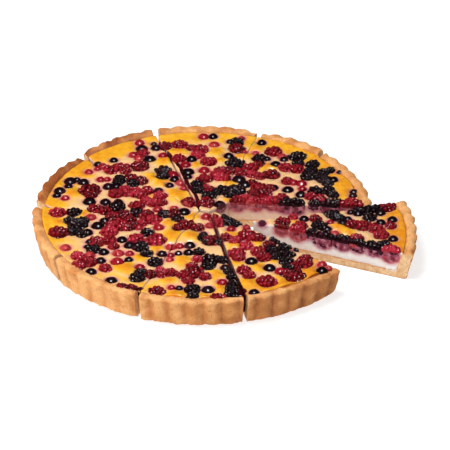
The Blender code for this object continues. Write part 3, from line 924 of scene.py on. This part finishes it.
def make_custard_materials(settings):
    """The glossy skin of the custard and its pale inside, with painted warm shade on the cut faces of the slices in
    the ring.
    """
    skin, tree, shader = new_material(
        "custard_skin",
        Roughness=0.3,
        Coat_Roughness=0.12,
        Subsurface_Weight=0.12,
        Subsurface_Scale=0.002,
        Subsurface_Radius=(1.0, 0.6, 0.25),
    )
    gold = tree.attribute("gold")
    patches = tree.group("Mottle", Size=6.0, Low=0.35, High=0.65)["Mask"]
    golden = tree.math("ADD", gold, tree.remap(patches, 0, 1, -0.12, 0.2))
    colour = tree.mix(tree.remap(golden, 0.12, 0.6), tuple(settings.cream), tuple(settings.gold))
    colour = tree.mix(tree.remap(golden, 0.65, 1.1), colour, tuple(settings.orange))
    red, dark, deep = (0.74, 0.21, 0.22), (0.60, 0.19, 0.24), (0.16, 0.01, 0.022)
    colour = tree.group("Bleed", Colour=colour, Red=red, Dark=dark, Deep=deep)["Colour"]
    juice_edge = tree.math("ADD", tree.attribute("juice"), tree.remap(tree.noise(2.5, 3.0), 0, 1, -0.25, 0.25))
    juice = tree.remap(juice_edge, 0.35, 0.6)
    colour = tree.mix(juice, colour, (0.055, 0.003, 0.008))
    tree.put(shader.inputs["Base Color"], colour)
    tree.put(shader.inputs["Roughness"], tree.remap(juice, 0, 1, 0.42, 0.1))
    tree.put(shader.inputs["Coat Weight"], tree.remap(golden, 0.0, 0.8, 0.15, 0.4))
    ripple = tree.bump(tree.noise(3.0, 3.0, 0.55), 0.25, 0.7)
    tree.put(shader.inputs["Normal"], tree.bump(tree.noise(0.8, 2.0), 0.05, 0.6, ripple))

    cut, tree, shader = new_material(
        "cut_custard",
        Roughness=0.45,
        Subsurface_Weight=0.15,
        Subsurface_Scale=0.002,
        Subsurface_Radius=(1.0, 0.7, 0.4),
    )
    patches = tree.group("Mottle", Size=3.5, Low=0.35, High=0.65)["Mask"]
    # Painted warm shade on the cut faces of the slices in the ring, with random patches of the same colour on every
    # cut face
    ring_shade_and_tone = tree.math("ADD", tree.math("MULTIPLY", tree.attribute("painted_ring_shade"), 0.65), tree.remap(patches, 0, 1, 0, 0.25))
    colour = tree.mix(ring_shade_and_tone, tuple(settings.inside), (0.80, 0.48, 0.27))
    red, dark, deep = (0.58, 0.14, 0.17), (0.46, 0.11, 0.18), (0.17, 0.01, 0.03)
    colour = tree.group("Bleed", Colour=colour, Red=red, Dark=dark, Deep=deep)["Colour"]
    juice = tree.remap(tree.attribute("juice"), 0.2, 0.6)
    colour = tree.mix(juice, colour, (0.07, 0.004, 0.012))
    tree.put(shader.inputs["Base Color"], colour)
    tree.put(shader.inputs["Roughness"], tree.remap(juice, 0, 1, 0.5, 0.15))
    tree.put(shader.inputs["Normal"], tree.bump(tree.noise(1.2, 3.0, 0.6), 0.15, 0.8))
    return skin, cut


# ---- Berries


def on_superellipsoid(way, radii, power=3.0):
    """The point of a full-bodied oval in the direction of way."""
    total = sum(abs(part / radius) ** power for part, radius in zip(way, radii))
    return way * total ** (-1 / power)


def holders(x, y, width):
    """The slices that carry a berry, each with the knives that went through it there."""
    spot = Vector((x, y, 0))
    carried = []
    for place, cuts in SOFT_SLICES:
        reach = [(spot - point).dot(outward) for point, outward in cuts]
        if max(reach) < 0.3 * width - 0.4 and (place.inverted() @ spot).length < RIM_R:
            knives = [cut for cut, away in zip(cuts, reach) if away > -width * 0.56]
            carried.append(knives)
    return carried


def knife_through(body, verts, knives, deeper):
    """Cuts a closed lump, given by its verts, with the knives. The cut shows its flesh."""
    for point, outward in knives:
        verts = [vert for vert in verts if vert.is_valid]
        reach = [(vert.co - point).dot(outward) + deeper for vert in verts]
        if not reach or max(reach) < 0:
            continue
        if min(reach) > 0:
            bmesh.ops.delete(body, geom=verts, context="VERTS")
            return
        edges = list({edge for vert in verts for edge in vert.link_edges})
        faces = list({face for vert in verts for face in vert.link_faces})
        result = bmesh.ops.bisect_plane(
            body,
            geom=verts + edges + faces,
            plane_co=point - outward * deeper,
            plane_no=outward,
            clear_outer=True,
            dist=1e-5,
        )
        rim = [item for item in result["geom_cut"] if isinstance(item, bmesh.types.BMEdge)]
        for face in bmesh.ops.holes_fill(body, edges=rim)["faces"]:
            face.material_index = 1
            face.smooth = False
        verts = [item for item in result["geom"] if isinstance(item, bmesh.types.BMVert) and item.is_valid]


def ball(body, tone, rings):
    """Adds one smooth ball of radius 1 to the body."""
    made = bmesh.ops.create_uvsphere(body, u_segments=rings[0], v_segments=rings[1], radius=1)
    layer = body.verts.layers.float["tone"]
    for vert in made["verts"]:
        vert[layer] = tone
    for face in {face for vert in made["verts"] for face in vert.link_faces}:
        face.smooth = True
    return made["verts"]


def drupelet_mesh():
    """One drupelet: a closed dome of radius 1 that goes a little below its widest ring."""
    body = new_berry_body()
    angles = [math.radians(degrees) for degrees in DRUPELET_RINGS]
    line = [(0, 1)] + [(math.sin(angle), math.cos(angle)) for angle in angles] + [(0, math.cos(angles[-1]))]
    verts = [body.verts.new((across, 0, height)) for across, height in line]
    edges = [body.edges.new(pair) for pair in zip(verts, verts[1:])]
    bmesh.ops.spin(
        body,
        geom=verts + edges,
        cent=(0, 0, 0),
        axis=(0, 0, 1),
        angle=math.tau,
        steps=DRUPELET_SIDES,
        use_merge=True,
    )
    bmesh.ops.remove_doubles(body, verts=body.verts, dist=0.001)
    bmesh.ops.recalc_face_normals(body, faces=body.faces)
    for face in body.faces:
        face.smooth = True
    mesh = bpy.data.meshes.new("drupelet")
    body.to_mesh(mesh)
    body.free()
    return mesh


def add_drupelet(body, mesh, matrix, tone, dip, wet):
    """Adds a placed copy of the drupelet to the body and returns its verts."""
    # After a cut, new verts aren't always last in the body
    old = set(body.verts)
    body.from_mesh(mesh)
    verts = [vert for vert in body.verts if vert not in old]
    layers = [(body.verts.layers.float[name], value) for name, value in (("tone", tone), ("dip", dip), ("wet", wet))]
    for vert in verts:
        vert.co = matrix @ vert.co
        for layer, value in layers:
            vert[layer] = value
    return verts


def new_berry_body():
    body = bmesh.new()
    for name in ("tone", "dip", "wet"):
        body.verts.layers.float.new(name)
    return body


def drupelet_berry(x, y, width, tone, kind, draw, knives, proud, drupelet, in_face):
    """One raspberry or bramble: a core under a close, uneven cover of the drupelets that the custard leaves open.

    A berry that shows in an open cut face has all its drupelets.
    """
    body = new_berry_body()
    radii = Vector((width * 0.53, width * 0.48, width * 0.40))
    middle = Vector((x, y, CUSTARD_LEVEL + proud - radii.z))
    turn = Matrix.Rotation(draw.uniform(0, math.tau), 3, "Z") @ Matrix.Rotation(draw.uniform(-0.2, 0.2), 3, "Y")
    size = clamp(width * (0.158 if kind == "raspberry" else 0.175), 1.63, 2.6)
    spacing = 2 * size * 0.86
    count = max(14, int(4 * math.pi * (width * 0.46) ** 2 / (0.866 * spacing * spacing)))
    # The core takes a darker tone than its drupelets: painted shade in the gaps between them
    core = ball(body, tone * 0.4, (16, 10) if in_face else (12, 8))
    for vert in core:
        vert.co = middle + turn @ (on_superellipsoid(vert.co.normalized(), radii) * 0.84)
    knife_through(body, core, knives, 0.3)
    open_knives = [knife for knife in knives if any(knife is cut for cut in OPEN_CUTS)]
    closed_knives = [knife for knife in knives if not any(knife is cut for cut in OPEN_CUTS)]
    golden_angle = math.pi * (3 - math.sqrt(5))
    start = draw.uniform(0, math.tau)
    for step in range(count):
        height = 1 - 2 * (step + 0.5) / count
        across = math.sqrt(1 - height * height)
        angle = start + step * golden_angle
        # The rows of drupelets run round the long axis
        way = Vector((height, across * math.cos(angle), across * math.sin(angle)))
        way = (way + Vector(draw.uniform(-0.09, 0.09) for _ in range(3))).normalized()
        own = size * draw.uniform(0.8, 1.18)
        spot = on_superellipsoid(way, radii)
        spot -= way * own * 0.8
        world = turn @ spot
        inside = world.xy.length / (width / 2)
        custard = CUSTARD_LEVEL - DIP_DEPTH * clamp((1 - inside) / DIP_SHARE)
        matrix = Matrix.Translation(middle + world) @ (
            (turn @ way).to_track_quat("Z", "X").to_matrix().to_4x4()
            @ Matrix.Diagonal((own * draw.uniform(0.92, 1.12), own * draw.uniform(0.92, 1.08), own * 1.12, 1))
        )
        own_tone, deeper = clamp(tone + draw.uniform(-0.22, 0.22)), draw.uniform(0.02, 0.12)
        wet = float(draw.random() < WET_SHARE)
        if not in_face and middle.z + world.z + own < custard - BURIED:
            continue
        dip = clamp(1 - (world.z + radii.z) / (2 * radii.z))
        centre = middle + world
        # Above the custard a berry on an open cut tears between its drupelets, which stay whole
        torn = bool(open_knives) and centre.z > CUSTARD_LEVEL - TORN_BELOW
        if torn and max((centre - point).dot(outward) for point, outward in open_knives) > -TORN_BACK * own:
            continue
        verts = add_drupelet(body, drupelet, matrix, own_tone, dip, wet)
        knife_through(body, verts, closed_knives if torn else knives, deeper)
    for knife in open_knives:
        torn_row(body, drupelet, middle, radii, size, tone, knife, draw)
    return body


def torn_row(body, drupelet, middle, radii, size, tone, knife, draw):
    """Whole drupelets along the edge of a cut berry, just above the custard."""
    point, outward = knife
    ahead = (point - middle).dot(outward)
    if abs(ahead) > 0.7 * radii.x:
        return
    along = Vector((-outward.y, outward.x, 0))
    half = radii.x * math.sqrt(1 - (ahead / radii.x) ** 2) - 0.7 * size
    gaps = max(1, round(half / (0.75 * size)))
    for step in range(gaps + 1):
        own = size * draw.uniform(0.85, 1.1)
        spot = middle + outward * (ahead - own * draw.uniform(0.4, 0.65)) + along * half * (2 * step / gaps - 1)
        spot.z = CUSTARD_LEVEL + own * draw.uniform(0.0, 0.35)
        way = outward + Vector((draw.uniform(-0.2, 0.2), draw.uniform(-0.2, 0.2), draw.uniform(0.5, 1.0)))
        matrix = Matrix.Translation(spot) @ way.to_track_quat("Z", "X").to_matrix().to_4x4() @ Matrix.Scale(own, 4)
        wet = float(draw.random() < WET_SHARE)
        add_drupelet(body, drupelet, matrix, clamp(tone + draw.uniform(-0.22, 0.22)), 0.3, wet)


def currant(x, y, width, tone, draw, knives, proud):
    """One smooth currant with a small dent where its flower was."""
    body = new_berry_body()
    radius = width / 2
    top = CUSTARD_LEVEL + min(proud, 0.34 * width)
    middle = Vector((x, y, top - radius * 0.9))
    turn = Matrix.Rotation(draw.uniform(0, math.tau), 3, "Z") @ Matrix.Rotation(draw.uniform(-1.2, 1.2), 3, "Y")
    verts = ball(body, tone, (16, 11))
    seed = Vector((x, y, width))
    dip_layer, wet_layer = body.verts.layers.float["dip"], body.verts.layers.float["wet"]
    for vert in verts:
        vert[wet_layer] = 0.45
        way = vert.co.normalized()
        wrinkle = 1 + 0.05 * noise.noise(way * 1.8 + seed) + 0.02 * noise.noise(way * 5 + seed)
        navel = 1 - 0.1 * math.exp(-((1 - way.z) / 0.05))
        vert[dip_layer] = clamp((1 - way.z) * 0.5)
        placed = turn @ (way * radius * wrinkle * navel)
        placed.z *= 0.92
        vert.co = middle + placed
    knife_through(body, verts, knives, 0.1)
    return body


def join_berries(kind, berries, seed, proud, in_face=False):
    """All berries of one kind in one body."""
    draw = random.Random(seed)
    whole = new_berry_body()
    drupelet = drupelet_mesh()
    for x, y, width, tone in berries:
        berry_seed = draw.random()
        for knives in holders(x, y, width):
            own = random.Random(berry_seed)
            level = proud * own.uniform(0.85, 1.15)
            if kind in ("raspberry", "bramble"):
                body = drupelet_berry(x, y, width, tone, kind, own, knives, level, drupelet, in_face)
            else:
                body = currant(x, y, width, tone, own, knives, level)
            mesh = bpy.data.meshes.new("berry")
            body.to_mesh(mesh)
            body.free()
            whole.from_mesh(mesh)
            bpy.data.meshes.remove(mesh)
    bpy.data.meshes.remove(drupelet)
    return whole


def make_berry_material(name, main, light, film, rough, dark_share):
    """Berry skin, glossy where it is wet: tone runs from dark through main to light, with custard low on its sides."""
    material, tree, shader = new_material(name, Specular_IOR_Level=0.12, Coat_Roughness=0.06)
    wet = tree.attribute("wet")
    tree.put(shader.inputs["Coat Weight"], tree.remap(wet, 0, 1, 0.0, 0.9))
    tree.put(shader.inputs["Roughness"], tree.remap(wet, 0, 1, 0.45, rough))
    patches = tree.group("Mottle", Size=3.0, Low=0.35, High=0.65)["Mask"]
    tone = tree.math("ADD", tree.attribute("tone"), tree.remap(patches, 0, 1, -0.2, 0.2))
    dark = tuple(part * dark_share for part in main)
    colour = tree.mix(tree.remap(tone, 0.0, 0.45), dark, main)
    colour = tree.mix(tree.remap(tone, 0.55, 1.1), colour, light)
    film_share = tree.math("ADD", tree.attribute("dip"), tree.remap(tree.noise(1.8, 3.0), 0, 1, -0.45, 0.45))
    colour = tree.mix(tree.remap(film_share, 0.5, 0.9, 0.0, 0.4), colour, film)
    tree.put(shader.inputs["Base Color"], colour)
    tree.put(shader.inputs["Normal"], tree.bump(tree.noise(0.9, 2.0), 0.06, 0.5))
    return material


def make_flesh_material(name, main, pale):
    """The inside of a berry where the knife went through."""
    material, tree, shader = new_material(name, Roughness=0.6, Specular_IOR_Level=0.2)
    patches = tree.group("Mottle", Size=2.6, Low=0.3, High=0.75)["Mask"]
    tree.put(shader.inputs["Base Color"], tree.mix(patches, main, pale))
    tree.put(shader.inputs["Normal"], tree.bump(tree.noise(0.7, 2.0), 0.1, 0.8))
    return material


# ---- Operators


class TART_OT_crust(bpy.types.Operator):
    """Makes the ten slices of the fluted pastry shell"""

    bl_idname = "tart.crust"
    bl_label = "Pastry shell"

    def execute(self, context):
        settings = context.scene.tart_crust
        materials = make_crust_materials(settings)
        whole = whole_crust(settings)
        for number in range(1, len(SLICES) + 1):
            body = crust_slice(whole, number, settings)
            obj = finish_mesh(f"pastry_{number:02}", body, materials)
            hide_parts(f"crust_slice_{number:02}")
        whole.free()
        return {"FINISHED"}


class TART_OT_custard(bpy.types.Operator):
    """Makes the ten slices of the custard with its golden domes"""

    bl_idname = "tart.custard"
    bl_label = "Custard"

    def execute(self, context):
        settings = context.scene.tart_custard
        materials = make_custard_materials(settings)
        disc = custard_disc()
        for number in range(1, len(SLICES) + 1):
            body = custard_slice(disc, number, settings)
            obj = finish_mesh(f"filling_{number:02}", body, materials)
            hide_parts(f"custard_slice_{number:02}")
        disc.free()
        return {"FINISHED"}


class TART_OT_raspberries(bpy.types.Operator):
    """Makes the raspberries, whole and cut"""

    bl_idname = "tart.raspberries"
    bl_label = "Raspberries"

    def execute(self, context):
        settings = context.scene.tart_berries
        main = tuple(settings.raspberry)
        materials = (
            make_berry_material("raspberry_skin", main, (0.50, 0.025, 0.05), (0.34, 0.03, 0.05), 0.2, 0.25),
            make_flesh_material("raspberry_flesh", (0.30, 0.012, 0.03), (0.62, 0.10, 0.10)),
        )
        proud = settings.proud / MM
        for kind, name, seed in (("raspberry", "raspberries", 3), ("raspberry_cut", "cut_raspberries", 4)):
            body = join_berries("raspberry", BERRIES[kind], seed, proud, in_face=kind.endswith("cut"))
            obj = finish_mesh(name, body, materials)
            count = len(CUT_RASPBERRIES) if kind.endswith("cut") else len(RASPBERRY_TONES)
            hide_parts(*(f"{kind}_{number:02}" for number in range(1, count + 1)))
        body = join_berries("raspberry", BERRIES["small_raspberry"], 9, proud)
        finish_mesh("small_raspberries", body, materials)
        return {"FINISHED"}


class TART_OT_brambles(bpy.types.Operator):
    """Makes the brambles, whole and cut"""

    bl_idname = "tart.brambles"
    bl_label = "Brambles"

    def execute(self, context):
        settings = context.scene.tart_berries
        main = tuple(settings.bramble)
        materials = (
            make_berry_material("bramble_skin", main, (0.08, 0.004, 0.012), (0.10, 0.015, 0.03), 0.18, 0.5),
            make_flesh_material("bramble_flesh", (0.012, 0.002, 0.006), (0.07, 0.008, 0.025)),
        )
        proud = settings.proud / MM
        for kind, name, seed in (("bramble", "brambles", 5), ("bramble_cut", "cut_brambles", 6)):
            body = join_berries("bramble", BERRIES[kind], seed, proud, in_face=kind.endswith("cut"))
            obj = finish_mesh(name, body, materials)
            count = len(CUT_BRAMBLES) if kind.endswith("cut") else len(BRAMBLE_TONES)
            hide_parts(*(f"{kind}_{number:02}" for number in range(1, count + 1)))
        return {"FINISHED"}


class TART_OT_currants(bpy.types.Operator):
    """Makes the redcurrants and the blackcurrants"""

    bl_idname = "tart.currants"
    bl_label = "Currants"

    def execute(self, context):
        settings = context.scene.tart_berries
        proud = settings.proud / MM
        red = (
            make_berry_material(
                "redcurrant_skin", tuple(settings.redcurrant), (0.60, 0.07, 0.07), (0.45, 0.06, 0.06), 0.16, 0.35
            ),
            make_flesh_material("redcurrant_flesh", (0.35, 0.01, 0.02), (0.80, 0.20, 0.15)),
        )
        dark = (
            make_berry_material(
                "blackcurrant_skin", tuple(settings.blackcurrant), (0.05, 0.008, 0.02), (0.12, 0.02, 0.04), 0.2, 0.5
            ),
            make_flesh_material("blackcurrant_flesh", (0.05, 0.005, 0.012), (0.20, 0.03, 0.07)),
        )
        kinds = (
            ("redcurrant", "redcurrants", red, "raspberry", 7),
            ("blackcurrant", "blackcurrants", dark, "bramble", 8),
        )
        for kind, name, materials, slot_name, seed in kinds:
            finish_mesh(name, join_berries(kind, BERRIES[kind], seed, proud), materials)
        return {"FINISHED"}


def add_light(name, size, power, place, target):
    """A square area light that looks at the target."""
    light = bpy.data.lights.new(name, "AREA")
    light.size = size
    light.energy = power
    obj = bpy.data.objects.new(name, light)
    obj.location = place
    obj.rotation_euler = (target - Vector(place)).to_track_quat("-Z", "Y").to_euler()
    bpy.context.scene.collection.objects.link(obj)
    return obj


class TART_OT_stage(bpy.types.Operator):
    """Makes the floor, the lights and the camera"""

    bl_idname = "tart.stage"
    bl_label = "Stage"

    def execute(self, context):
        scene = context.scene
        settings = scene.tart_stage
        scene.view_settings.view_transform = "Standard"
        body = bmesh.new()
        bmesh.ops.create_grid(body, x_segments=1, y_segments=1, size=4)
        bmesh.ops.translate(body, verts=body.verts, vec=(0, 0, -0.0002))
        mesh = bpy.data.meshes.new("floor")
        body.to_mesh(mesh)
        body.free()
        material, _, _ = new_material(
            "floor",
            Base_Color=(*settings.floor, 1),
            Roughness=0.9,
            Specular_IOR_Level=0.1,
            Emission_Color=(1, 1, 1, 1),
            Emission_Strength=0.75,
        )
        mesh.materials.append(material)
        floor = bpy.data.objects.new("floor", mesh)
        floor.visible_glossy = False
        scene.collection.objects.link(floor)
        world = bpy.data.worlds.new("studio")
        world.use_nodes = True
        world.node_tree.nodes["Background"].inputs["Color"].default_value = (1, 1, 1, 1)
        world.node_tree.nodes["Background"].inputs["Strength"].default_value = settings.world
        scene.world = world
        world.cycles_visibility.glossy = False
        key = add_light("key", 0.45, settings.key_power, (-0.3, -0.15, 1.15), RING_MIDDLE)
        front = add_light("front", 0.8, settings.key_power * 0.6, (-0.9, -0.75, 0.5), RING_MIDDLE)
        key.visible_glossy = front.visible_glossy = False
        glint = add_light("glint", 0.4, settings.key_power * 2.0, (0.0, -0.35, 1.2), RING_MIDDLE)
        glint.visible_diffuse = False
        lens = bpy.data.cameras.new("camera")
        lens.sensor_width = 36
        lens.lens = CAMERA_LENS
        lens.shift_x, lens.shift_y = CAMERA_SHIFT
        lens.clip_end = 20
        camera = bpy.data.objects.new("camera", lens)
        back = Vector((0, -math.cos(CAMERA_ELEVATION), math.sin(CAMERA_ELEVATION)))
        camera.location = RING_MIDDLE + back * CAMERA_DISTANCE
        camera.rotation_euler = (-back).to_track_quat("-Z", "Y").to_euler()
        scene.collection.objects.link(camera)
        scene.camera = camera
        return {"FINISHED"}


class TART_PT_panel(bpy.types.Panel):
    """Lists the steps that build the tart"""

    bl_label = "Red berry tart"
    bl_idname = "TART_PT_panel"
    bl_space_type = "VIEW_3D"
    bl_region_type = "UI"
    bl_category = "Tart"

    def draw(self, context):
        for operator in OPERATORS:
            self.layout.operator(operator.bl_idname)


SETTINGS = (
    ("tart_crust", CrustSettings),
    ("tart_custard", CustardSettings),
    ("tart_berries", BerrySettings),
    ("tart_stage", StageSettings),
)
OPERATORS = (
    TART_OT_stage,
    TART_OT_crust,
    TART_OT_custard,
    TART_OT_raspberries,
    TART_OT_brambles,
    TART_OT_currants,
)


def register():
    for name, group in SETTINGS:
        bpy.utils.register_class(group)
        setattr(bpy.types.Scene, name, PointerProperty(type=group))
    for operator in OPERATORS:
        bpy.utils.register_class(operator)
    bpy.utils.register_class(TART_PT_panel)


def unregister():
    bpy.utils.unregister_class(TART_PT_panel)
    for operator in reversed(OPERATORS):
        bpy.utils.unregister_class(operator)
    for name, group in reversed(SETTINGS):
        delattr(bpy.types.Scene, name)
        bpy.utils.unregister_class(group)


def main():
    register()
    make_groups()
    bpy.ops.tart.stage()
    bpy.ops.tart.crust()
    bpy.ops.tart.custard()
    bpy.ops.tart.raspberries()
    bpy.ops.tart.brambles()
    bpy.ops.tart.currants()
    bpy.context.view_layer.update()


if __name__ == "__main__":
    main()
